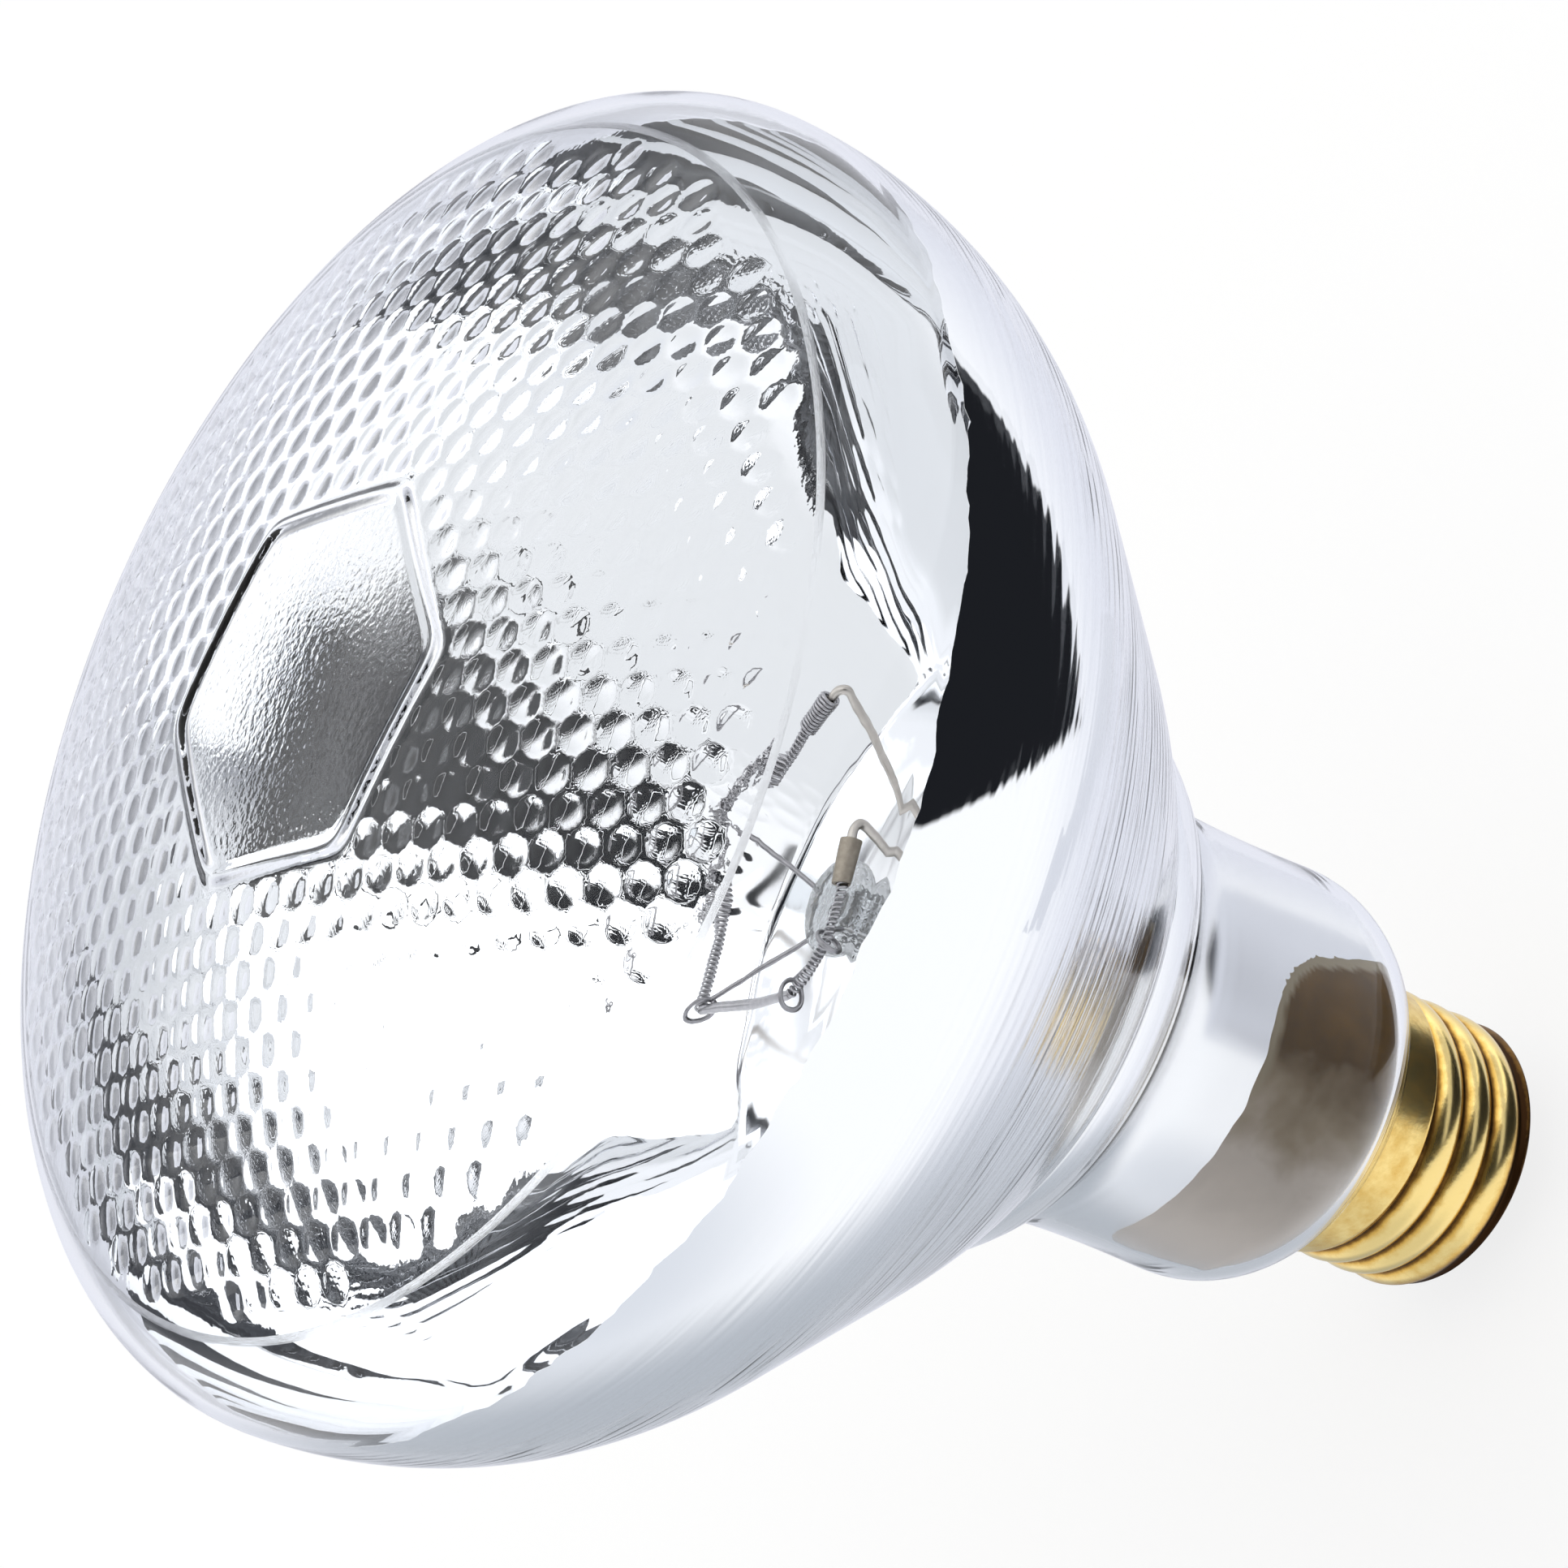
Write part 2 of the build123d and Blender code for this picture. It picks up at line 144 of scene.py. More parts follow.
pictureRight = Vector(cameraSpot["right"]).normalized()
pictureUp = Vector(cameraSpot["up"])
pictureUp = (pictureUp - pictureRight * pictureRight.dot(pictureUp)).normalized()
pictureBack = pictureRight.cross(pictureUp)
cameraData = bpy.data.cameras.new("camera")
cameraData.sensor_width = cameraSpot["sensor"]
cameraData.lens = cameraSpot["focusPixels"] / cameraSpot["pictureSide"] * cameraSpot["sensor"]
cameraData.clip_start = 0.01
camera = bpy.data.objects.new("camera", cameraData)
scene.collection.objects.link(camera)
camera.matrix_world = Matrix.Translation(Vector(cameraSpot["place"]) * mm) @ Matrix(
    (pictureRight, pictureUp, pictureBack)
).transposed().to_4x4()
scene.camera = camera
print("camera lens", round(cameraData.lens, 1))


# studio: a white table, a softbox overhead and a dark room between them on the right; light is linear.
# Directions are in the picture's own axes: azimuth from the camera to the right, and elevation, in degrees.
# An edge is the angle where it lies straight ahead, and how far it climbs for each degree of azimuth.
# A zone is a direction (right, up, towards the camera), the cosines where it starts and is full, and its
# colour; each lies over the ones before it

studio = dict(
    white=(1.10, 1.10, 1.11),
    softbox=(1.55, 1.55, 1.55),
    room=(0.013, 0.014, 0.017),
    edges=dict(table=(-23.0, 0.19), softbox=(20.0, 0.20), roomLeft=(-14.0, 0.0), roomRight=(126.0, 0.0)),
    blur=0.5,
    softboxBack=(-0.65, -0.25),
    zones=[
        ((-0.87, 0.30, -0.39), 0.62, 0.92, "#84868c"),
        ((-0.49, -0.60, 0.63), 0.77, 0.91, "#f1f2f3"),
        ((0.10, 0.00, -0.99), 0.45, 0.95, "#e9ebf5"),
        ((0.00, -1.00, 0.00), 0.72, 0.98, "#e6e9ef"),
        ((0.15, -0.58, -0.80), 0.84, 0.995, "#bcc1c8"),
    ],
)


def buildStudio():
    # layers of light, each with its share of a direction: the zones, the softbox, the room, and for the
    # camera's own rays plain white
    world = bpy.data.worlds.new("studio")
    scene.world = world
    world.use_nodes = True
    world.cycles.sampling_method = "NONE"  # glossy rays find the light by themselves, which is quicker here
    tree = world.node_tree
    look = addNode(tree, "ShaderNodeTexCoord").outputs["Generated"]
    axes = [pictureRight, pictureUp, pictureBack]
    for zone in studio["zones"]:
        right, up, back = zone[0]
        axes.append((pictureRight * right + pictureUp * up + pictureBack * back).normalized())
    toRight, toUp, toBack, *toZones = [
        addNode(tree, "ShaderNodeVectorMath", {0: look, 1: axis}, operation="DOT_PRODUCT").outputs["Value"]
        for axis in axes
    ]
    azimuth = addNode(tree, "ShaderNodeMath", {0: toRight, 1: toBack}, operation="ARCTAN2").outputs[0]
    elevation = addNode(tree, "ShaderNodeMath", {0: toUp}, operation="ARCSINE").outputs[0]

    # every share goes from 0 to 1 over a range of its value: near a zone's axis, in front of the lamp, and
    # past an edge
    ranges = {k: (value, *zone[1:3]) for k, (value, zone) in enumerate(zip(toZones, studio["zones"]))}
    ranges["front"] = (toBack, *studio["softboxBack"])
    blur = np.radians(studio["blur"])
    for name, (edge, climb) in studio["edges"].items():
        angle = azimuth if name.startswith("room") else elevation
        line = addNode(
            tree, "ShaderNodeMath", {0: azimuth, 1: -climb, 2: -np.radians(edge)}, operation="MULTIPLY_ADD")
        over = addNode(tree, "ShaderNodeMath", {0: angle, 1: line.outputs[0]}, operation="ADD")
        ranges[name] = (over.outputs[0], -blur, blur)
    shares = {
        name: addNode(
            tree,
            "ShaderNodeMapRange",
            {"Value": value, "From Min": low, "From Max": high},
            interpolation_type="SMOOTHSTEP",
        ).outputs["Result"]
        for name, (value, low, high) in ranges.items()
    }

    # the room is what lies past the table but not the softbox, and past its left edge but not its right one
    for name, operation, first, second in (
        ("height", "SUBTRACT", "table", "softbox"),
        ("width", "SUBTRACT", "roomLeft", "roomRight"),
        ("room", "MULTIPLY", "height", "width"),
        ("overhead", "MULTIPLY", "softbox", "front"),
    ):
        joined = addNode(tree, "ShaderNodeMath", {0: shares[first], 1: shares[second]}, operation=operation)
        shares[name] = joined.outputs[0]
    shares["camera"] = addNode(tree, "ShaderNodeLightPath").outputs["Is Camera Ray"]

    layers = [(k, linearColour(zone[3])) for k, zone in enumerate(studio["zones"])]
    layers.append(("overhead", (*studio["softbox"], 1.0)))
    layers.append(("room", (*studio["room"], 1.0)))
    layers.append(("camera", linearColour("#ffffff")))
    light = (*studio["white"], 1.0)
    for name, colour in layers:
        light = addNode(
            tree, "ShaderNodeMix", {"Factor": shares[name], "A": light, "B": colour}, data_type="RGBA"
        ).outputs["Result"]
    tree.links.new(light, tree.nodes["Background"].inputs["Color"])


buildStudio()


floor = dict(side=4000.0, colour="#f4f4f2", glow=0.8)


def buildFloor():
    # matte white paper: to the eye mostly its own glow, so that only a faint shadow is left on it
    material, tree, shader = newMaterial(
        "white_paper", Roughness=0.9, Base_Color=linearColour(floor["colour"]))
    direct = addNode(tree, "ShaderNodeLightPath").outputs["Is Camera Ray"]
    share = addNode(tree, "ShaderNodeMath", {0: direct, 1: floor["glow"]}, operation="MULTIPLY").outputs[0]
    glow = addNode(tree, "ShaderNodeEmission", {"Color": linearColour("#ffffff"), "Strength": 1.0})
    mixed = addNode(
        tree, "ShaderNodeMixShader", {0: share, 1: shader.outputs[0], 2: glow.outputs[0]}
    ).outputs[0]
    tree.links.new(mixed, tree.nodes["Material Output"].inputs["Surface"])
    half = floor["side"] / 2
    corners = np.array([(-half, -half, 0), (half, -half, 0), (half, half, 0), (-half, half, 0)]) * mm
    mesh = bpy.data.meshes.new("floor")
    mesh.from_pydata(corners.tolist(), [], [(0, 1, 2, 3)])
    mesh.materials.append(material)
    sheet = bpy.data.objects.new("floor", mesh)
    scene.collection.objects.link(sheet)
    sheet.visible_glossy = False
    sheet.visible_transmission = False


buildFloor()


# a strip of white card just out of the picture on the right lightens the neck and leaves the dark room
# in the step and the brass; corners are mm up and towards the camera from the card's middle

card = dict(
    place=(37.0, -31.0, 7.0),
    facing=(0.625, -0.402, -0.669),
    corners=[(-32, -26), (-12, -26), (-4, -9), (10, 2), (32, 13), (34, 26), (16, 25), (-6, 10), (-32, -10)],
    light="#e2e4ec",
)


def buildCard():
    # a flat outline that glows like lit card; the camera itself doesn't see it
    material = bpy.data.materials.new("white_card")
    material.use_nodes = True
    tree = material.node_tree
    glow = addNode(tree, "ShaderNodeEmission", {"Color": linearColour(card["light"]), "Strength": 1.0})
    tree.links.new(glow.outputs[0], tree.nodes["Material Output"].inputs["Surface"])
    facing = Vector(card["facing"]).normalized()
    deep = (pictureBack - facing * facing.dot(pictureBack)).normalized()
    up = facing.cross(deep)
    corners = [(Vector(card["place"]) + up * a + deep * b) * mm for a, b in card["corners"]]
    mesh = bpy.data.meshes.new("card")
    mesh.from_pydata(corners, [], [range(len(corners))])
    mesh.materials.append(material)
    sheet = bpy.data.objects.new("card", mesh)
    scene.collection.objects.link(sheet)
    sheet.visible_camera = False
    sheet.visible_shadow = False


buildCard()
print("studio, floor and card built")


# bulb outline: arcs and straight runs from the seal skirt to the face, slopes in degrees from the axis

bulb = dict(
    wall=1.0,
    skirtRadius=11.4,
    skirtLength=5.0,
    skirtFillet=1.5,
    shoulderRadius=10.0,
    bulgeRadius=19.8,
    neckFlare=1.5,
    neckRun=4.2,
    step=[(140.0, 4.0), (11.0, 55.0), (2.2, 38.0), (24.0, 22.0), (2.0, 47.0), (90.0, 38.5)],
    reflectorRadius=42.0,
    rimRadius=60.325,
    rimCorner=11.0,
    faceHeight=21.15,
)
glassLow, glassHigh = (np.array(corner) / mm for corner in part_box("glass_envelope"))
cornerOffset = bulb["rimRadius"] - bulb["rimCorner"]
ballRadius = (bulb["faceHeight"] ** 2 + cornerOffset ** 2 - bulb["rimCorner"] ** 2) / (
    2 * (bulb["faceHeight"] - bulb["rimCorner"]))
capTurn = np.arcsin(cornerOffset / (ballRadius - bulb["rimCorner"]))
ballCentre = glassHigh[2] - ballRadius
skirtTop = glassLow[2] + bulb["skirtLength"]
rimHeight = glassHigh[2] - bulb["faceHeight"]


def bulbRuns():
    # every run as (radius or length, slope at its end), the cone's length from what the others leave
    rise = (bulb["bulgeRadius"] - bulb["skirtRadius"]) / (bulb["shoulderRadius"] + bulb["skirtFillet"])
    runs = [
        ("arc", bulb["skirtFillet"], np.degrees(np.arccos(1 - rise))),
        ("arc", bulb["shoulderRadius"], -bulb["neckFlare"]),
        ("straight", bulb["neckRun"], -bulb["neckFlare"]),
        *[("arc", *run) for run in bulb["step"]],
    ]
    ends = [("arc", bulb["reflectorRadius"], 0.0), ("arc", bulb["rimCorner"], np.degrees(capTurn) - 90)]
    coneSlope = np.radians(bulb["step"][-1][1])
    reach = walkRuns(runs, 0.0)[1][-1] + bulb["reflectorRadius"] * (1 - np.cos(coneSlope))
    cone = (bulb["rimRadius"] - reach) / np.sin(coneSlope)
    return [*runs, ("straight", cone, bulb["step"][-1][1]), *ends]


def walkRuns(runs, inset, fine=0.05):
    # an arc of radius R that turns from slope a to b moves out by R(cos b - cos a) and up by
    # R(sin a - sin b) where it bulges, with R less the inset, and the other way round where it is hollow,
    # with R plus the inset
    radius = [np.array([bulb["skirtRadius"] - inset] * 2)]
    height = [np.array([glassLow[2], skirtTop])]
    slope = [np.zeros(2)]
    now = 0.0
    for kind, size, end in runs:
        r, z = radius[-1][-1], height[-1][-1]
        last = np.radians(end)
        if kind == "straight":
            t = np.linspace(0, size, max(3, int(size / fine)))[1:]
            radius.append(r + t * np.sin(last))
            height.append(z + t * np.cos(last))
            slope.append(np.full(len(t), last))
        else:
            way = 1 if last > now else -1
            ball = size + way * inset
            t = np.linspace(now, last, max(12, int(ball * abs(last - now) / fine)))[1:]
            radius.append(r - way * ball * (np.cos(t) - np.cos(now)))
            height.append(z + way * ball * (np.sin(t) - np.sin(now)))
            slope.append(t)
            now = last
    radius, height, slope = (np.concatenate(part) for part in (radius, height, slope))
    length = np.concatenate([[0], np.cumsum(np.hypot(np.diff(radius), np.diff(height)))])
    return length, radius, height, slope


outlineRuns = bulbRuns()


def outlineRows(line, low, high, longest, turn):
    # places along an outline, closer where it bends: a step is at most the longest length or the turn
    length, slope = line[0], line[3]
    steps = np.diff(length) / longest + np.abs(np.diff(slope)) / np.radians(turn)
    effort = np.concatenate([[0], np.cumsum(steps)])
    first, last = np.interp([low, high], length, effort)
    return np.interp(np.linspace(first, last, int(last - first) + 2), effort, length)


def onOutline(line, place):
    # radius and height at places along an outline
    return np.interp(place, line[0], line[1]), np.interp(place, line[0], line[2])


outerLine = walkRuns(outlineRuns, 0.0)
innerLine = walkRuns(outlineRuns, bulb["wall"])
print("outline's rim", round(outerLine[1].max(), 3), "and end", round(outerLine[2][-1], 2))


# materials

def clearGlassMaterial():
    # soda-lime glass, blown in a mould: colourless and fire-polished; the mould's skin left an orange peel
    # on the face and the spinning wall was drawn into fine rings, so that what is seen through it is ragged.
    # One attribute places the pattern, in its own lengths, and another says how deep it is in mm
    material, tree, shader = newMaterial(
        "blown_soda_lime_glass",
        Base_Color=linearColour("#fcfdfe"),
        Roughness=0.0,
        IOR=1.5,
        Transmission_Weight=1.0,
        Specular_Tint=(0.1, 0.1, 0.1, 1.0),
    )
    grain = addNode(tree, "ShaderNodeAttribute", attribute_name="grain").outputs["Vector"]
    relief = addNode(tree, "ShaderNodeAttribute", attribute_name="relief").outputs["Fac"]
    noise = addNode(tree, "ShaderNodeTexNoise", {"Vector": grain, "Scale": 1.0, "Detail": 1.0}).outputs["Fac"]
    height = addNode(tree, "ShaderNodeMath", {0: noise, 1: relief}, operation="MULTIPLY").outputs[0]
    bump = addNode(tree, "ShaderNodeBump", {"Height": height, "Strength": 1.0, "Distance": mm})
    tree.links.new(bump.outputs["Normal"], shader.inputs["Normal"])
    return material


def stemGlassMaterial():
    # lead glass, pinched hot between jaws round the wires: clear, but rippled and a little milky, so it shows
    # pale flecks
    material, tree, shader = newMaterial(
        "pressed_lead_glass",
        Base_Color=linearColour("#eceff1"),
        Roughness=0.03,
        IOR=1.5,
        Transmission_Weight=0.86,
    )
    spot = addNode(tree, "ShaderNodeTexCoord").outputs["Object"]
    ripple = addNode(tree, "ShaderNodeTexNoise", {"Vector": spot, "Scale": 1 / (1.8 * mm), "Detail": 3.0})
    bump = addNode(
        tree, "ShaderNodeBump", {"Height": ripple.outputs["Fac"], "Strength": 1.0, "Distance": 0.5 * mm})
    tree.links.new(bump.outputs["Normal"], shader.inputs["Normal"])
    return material


def mirrorFilmMaterial():
    # aluminium, evaporated on the inside of the bulb: a bright, smooth mirror on the cone;
    # towards the neck it is thin and milky
    material, tree, shader = newMaterial(
        "aluminium_mirror_film", Base_Color=linearColour("#f7f8fa"), Metallic=1.0, Roughness=0.05)
    spot = addNode(tree, "ShaderNodeTexCoord").outputs["Object"]
    height = addNode(tree, "ShaderNodeSeparateXYZ", {0: spot}).outputs["Z"]
    for socket, neck, cone, low, high in (("Metallic", 0.9, 1.0, 46, 52), ("Roughness", 0.2, 0.01, 52, 72)):
        fade = addNode(
            tree,
            "ShaderNodeMapRange",
            {"Value": height, "From Min": low * mm, "From Max": high * mm, "To Min": neck, "To Max": cone},
            interpolation_type="SMOOTHSTEP",
        )
        tree.links.new(fade.outputs["Result"], shader.inputs[socket])
    return material


def windowStainAndShadeMaterial():
    # brown oxide left where the evaporated aluminium ran thin, and painted shade for the bulb's dark inside
    # seen through the bare window: a tan rim, dark brown, then smoky grey
    material, tree, shader = newMaterial("oxide_stain_and_painted_shade", Metallic=0.0, Roughness=0.5)
    fade = addNode(tree, "ShaderNodeAttribute", attribute_name="fade").outputs["Fac"]
    edge = addNode(tree, "ShaderNodeAttribute", attribute_name="edge").outputs["Fac"]
    spot = addNode(tree, "ShaderNodeTexCoord").outputs["Object"]
    cloud = addNode(
        tree,
        "ShaderNodeTexNoise",
        {"Vector": spot, "Scale": 1 / (5 * mm), "Detail": 4.0, "Roughness": 0.5, "Distortion": 0.3},
    )
    drift = addNode(
        tree, "ShaderNodeMath", {0: cloud.outputs["Fac"], 1: 0.4, 2: fade}, operation="MULTIPLY_ADD")
    ramp = addNode(tree, "ShaderNodeValToRGB", {"Fac": drift.outputs[0]})
    # the dark brown stops are partly painted shade of the bulb's dark inside
    stops = [
        (0.1333, "#7d5c26"), (0.3, "#5f4519"), (0.5, "#a8977f"), (0.6667, "#d9cdc1"), (0.9167, "#ecdfd2")]
    for stop in stops[2:]:
        ramp.color_ramp.elements.new(stop[0])
    for element, (at, colour) in zip(ramp.color_ramp.elements, stops):
        element.position = at
        element.color = linearColour(colour)
    rim = addNode(
        tree,
        "ShaderNodeMix",
        {"Factor": edge, "A": ramp.outputs["Color"], "B": linearColour("#b5a88f")},
        data_type="RGBA",
    )
    tree.links.new(rim.outputs["Result"], shader.inputs["Base Color"])
    return material


def rolledBrassMaterial():
    # brass sheet, rolled into a thread and handled: polished crests, brown painted shade in the grooves,
    # brown tarnish at the foot, and a fine rolling grain
    material, tree, shader = newMaterial("rolled_brass", Metallic=1.0, Roughness=0.2)
    groove = addNode(tree, "ShaderNodeAttribute", attribute_name="groove").outputs["Fac"]
    spot = addNode(tree, "ShaderNodeTexCoord").outputs["Object"]
    cloud = addNode(
        tree,
        "ShaderNodeTexNoise",
        {"Vector": spot, "Scale": 1 / (1.6 * mm), "Detail": 6.0, "Roughness": 0.65},
    )
    # the random cloud plus the groove attribute, which holds painted shade in the grooves and the tarnish
    dirtAndShade = addNode(
        tree, "ShaderNodeMath", {0: cloud.outputs["Fac"], 1: 0.45, 2: groove}, operation="MULTIPLY_ADD"
    ).outputs[0]
    ramp = addNode(tree, "ShaderNodeValToRGB", {"Fac": dirtAndShade})
    # the dark brown stops paint the shade in the grooves and the tarnish towards the foot
    stops = [(0.28, "#f2d890"), (0.48, "#d9b05a"), (0.68, "#84602b"), (0.95, "#352212")]
    for stop in stops[2:]:
        ramp.color_ramp.elements.new(stop[0])
    for element, (at, colour) in zip(ramp.color_ramp.elements, stops):
        element.position = at
        element.color = linearColour(colour)
    tree.links.new(ramp.outputs["Color"], shader.inputs["Base Color"])
    rough = addNode(
        tree,
        "ShaderNodeMapRange",
        {"Value": dirtAndShade, "From Min": 0.3, "From Max": 1.0, "To Min": 0.22, "To Max": 0.5},
    )
    tree.links.new(rough.outputs["Result"], shader.inputs["Roughness"])
    grain = addNode(tree, "ShaderNodeTexNoise", {"Vector": spot, "Scale": 1 / (0.5 * mm), "Detail": 3.0})
    bump = addNode(
        tree, "ShaderNodeBump", {"Height": grain.outputs["Fac"], "Strength": 1.0, "Distance": 0.012 * mm})
    tree.links.new(bump.outputs["Normal"], shader.inputs["Normal"])
    return material


def mottledMaterial(name, pale, dark, roughness, spotSize, metallic=1.0):
    # a drawn, cast or moulded surface: two tones of one material in soft spots of a given size in mm, and a
    # slight unevenness that breaks up its shine
    material, tree, shader = newMaterial(name, Metallic=metallic, Roughness=roughness)
    spot = addNode(tree, "ShaderNodeTexCoord").outputs["Object"]
    cloud = addNode(tree, "ShaderNodeTexNoise", {"Vector": spot, "Scale": 1 / (spotSize * mm), "Detail": 4.0})
    tone = addNode(
        tree,
        "ShaderNodeMix",
        {"Factor": cloud.outputs["Fac"], "A": linearColour(pale), "B": linearColour(dark)},
        data_type="RGBA",
    )
    tree.links.new(tone.outputs["Result"], shader.inputs["Base Color"])
    bump = addNode(
        tree, "ShaderNodeBump", {"Height": cloud.outputs["Fac"], "Strength": 0.6, "Distance": 0.02 * mm})
    tree.links.new(bump.outputs["Normal"], shader.inputs["Normal"])
    return material


clearGlass = clearGlassMaterial()
stemGlass = stemGlassMaterial()
mirrorFilm = mirrorFilmMaterial()
windowStainAndShade = windowStainAndShadeMaterial()
rolledBrass = rolledBrassMaterial()
# tungsten wire, drawn and wound: light grey, with a hard shine
drawnTungsten = mottledMaterial("drawn_tungsten", "#c4c3c6", "#8e8d91", 0.3, 0.6)
print("materials made for the new pieces")


# glass envelope: outer wall, dimpled face and inner wall, closed at the skirt

envelope = dict(
    columns=180,
    longestRow=2.4,
    sharpestRow=6.0,
    innerLongest=3.8,
    innerSharpest=9.0,
    innerCapRows=20,
    dimplePitch=3.64,
    dimpleRadius=1.66,
    dimpleHeight=0.22,
    dimpleCrease=0.02,
    dimpleRings=[(0.0, 1), (0.4, 7), (0.75, 14), (0.97, 18), (1.07, 18)],
    dimpleUneven=0.2,
    dimpleMargin=1.3,
    dimpleReach=51.6,
    hexagonRadius=18.3,
    hexagonTurn=53.5,
    hexagonCorner=0.7,
    ridgeWidth=2.4,
    ridgeHeight=0.42,
    ridgeStep=0.32,
    plainStep=1.1,
    rimWave=(0.008, 7.0),  # size and length
    innerWave=(0.008, 9.0),
    waveStretch=(0.45, 0.45, 1.6),
    peelSize=0.6,
    peelDepth=0.05,
    peelOnFace=0.12,  # share of the depth outside the hexagon
    ringRun=22.0,
    ringWidth=1.3,
    ringDepth=0.05,
    ringOnNeck=0.04,  # share of the depth on the neck, and on the low part of the cone
    ringOnLowCone=0.3,
    lowCone=(54.0, 62.0),
    highCone=(66.0, 86.0),
    underRim=(12.0, 1.0),
)
latticeTurn = np.radians(envelope["hexagonTurn"] - 60)


def hexagonDistance(x, y):
    # how far a point lies outside the hexagon on the face, less than 0 inside: the greatest of the
    # distances from its six sides, softened so that the corners are round
    sides = np.radians(envelope["hexagonTurn"] + 30 + 60 * np.arange(6))
    apothem = envelope["hexagonRadius"] * np.cos(np.pi / 6)
    off = x[..., None] * np.cos(sides) + y[..., None] * np.sin(sides) - apothem
    soft = envelope["hexagonCorner"]
    return off.max(-1) + soft * np.log(np.exp((off - off.max(-1, keepdims=True)) / soft).sum(-1))


def dimpleCentres(x, y):
    # the nearest point of a triangular lattice whose rows lie along the hexagon's sides
    along = x * np.cos(latticeTurn) + y * np.sin(latticeTurn)
    across = -x * np.sin(latticeTurn) + y * np.cos(latticeTurn)
    pitch, rowPitch = envelope["dimplePitch"], envelope["dimplePitch"] * np.sqrt(3)
    best = np.full(x.shape, 1e9)
    near = np.zeros((2, *x.shape))
    for shift in (0.0, 0.5):
        a = (np.round(along / pitch - shift) + shift) * pitch
        b = (np.round(across / rowPitch - shift) + shift) * rowPitch
        gap = np.hypot(along - a, across - b)
        near = np.where(gap < best, np.stack([a, b]), near)
        best = np.minimum(gap, best)
    return (
        near[0] * np.cos(latticeTurn) - near[1] * np.sin(latticeTurn),
        near[0] * np.sin(latticeTurn) + near[1] * np.cos(latticeTurn),
    )


def isDimple(x, y):
    # a lattice point carries a dimple unless it would touch the hexagon's ridge or the clear rim
    free = hexagonDistance(x, y) > envelope["ridgeWidth"] / 2 + envelope["dimpleMargin"]
    return free & (np.hypot(x, y) < envelope["dimpleReach"])


def faceRelief(x, y):
    # low round lenses, each a parabola with a soft crease round its foot, some higher than others by sines of
    # their place, and the hexagon's ridge, a cosine across
    middleX, middleY = dimpleCentres(x, y)
    share = np.hypot(x - middleX, y - middleY) / envelope["dimpleRadius"]
    lens = 1 - share ** 2
    lens = 0.5 * (lens + np.sqrt(lens ** 2 + envelope["dimpleCrease"] ** 2))
    uneven = 1 + envelope["dimpleUneven"] * np.sin(middleX * 5.1 + 1.3) * np.sin(middleY * 3.7 + 0.4)
    lens *= envelope["dimpleHeight"] * uneven * isDimple(middleX, middleY)
    side = hexagonDistance(x, y)
    ridge = 0.5 + 0.5 * np.cos(np.pi * np.clip(side / (envelope["ridgeWidth"] / 2), -1, 1))
    return envelope["ridgeHeight"] * ridge + lens


def hexGrid(step, reach):
    # points of a triangular lattice over a square
    half = int(reach / step) + 1
    i, j = np.meshgrid(np.arange(-half, half + 1), np.arange(-half, half + 1), indexing="ij")
    return ((i + 0.5 * (j % 2)) * step).ravel(), (j * step * np.sqrt(0.75)).ravel()


def faceMesh(radius, turn):
    # points where the face needs them: rings on every dimple, close rows on the ridge, a plain lattice
    # elsewhere that keeps clear of the dimples and the border, all joined into triangles
    reach = radius * 1.2
    a, b = hexGrid(envelope["dimplePitch"], reach)
    x, y = dimpleCentres(
        a * np.cos(latticeTurn) - b * np.sin(latticeTurn), a * np.sin(latticeTurn) + b * np.cos(latticeTurn))
    kept = isDimple(x, y)
    centres = np.stack([x[kept], y[kept]], -1)
    parts = [radius * np.stack([np.cos(turn), np.sin(turn)], -1)]
    for share, count in envelope["dimpleRings"]:
        around = np.arange(count) / count * 2 * np.pi + share
        ring = share * envelope["dimpleRadius"] * np.stack([np.cos(around), np.sin(around)], -1)
        parts.append((centres[:, None] + ring).reshape(-1, 2))
    for step, onRidge in ((envelope["ridgeStep"], True), (envelope["plainStep"], False)):
        x, y = hexGrid(step, reach)
        middleX, middleY = dimpleCentres(x, y)
        room = np.hypot(x - middleX, y - middleY) > envelope["dimpleRadius"] * 1.2
        free = (room | ~isDimple(middleX, middleY)) & (np.hypot(x, y) < radius - 0.6)
        ridge = np.abs(hexagonDistance(x, y)) < envelope["ridgeWidth"] / 2 + 0.3
        parts.append(np.stack([x, y], -1)[free & (ridge == onRidge)])
    flat = delaunay_2d_cdt(np.concatenate(parts).tolist(), [], [], 0, 1e-5)
    return np.array(flat[0]), np.array(flat[2])


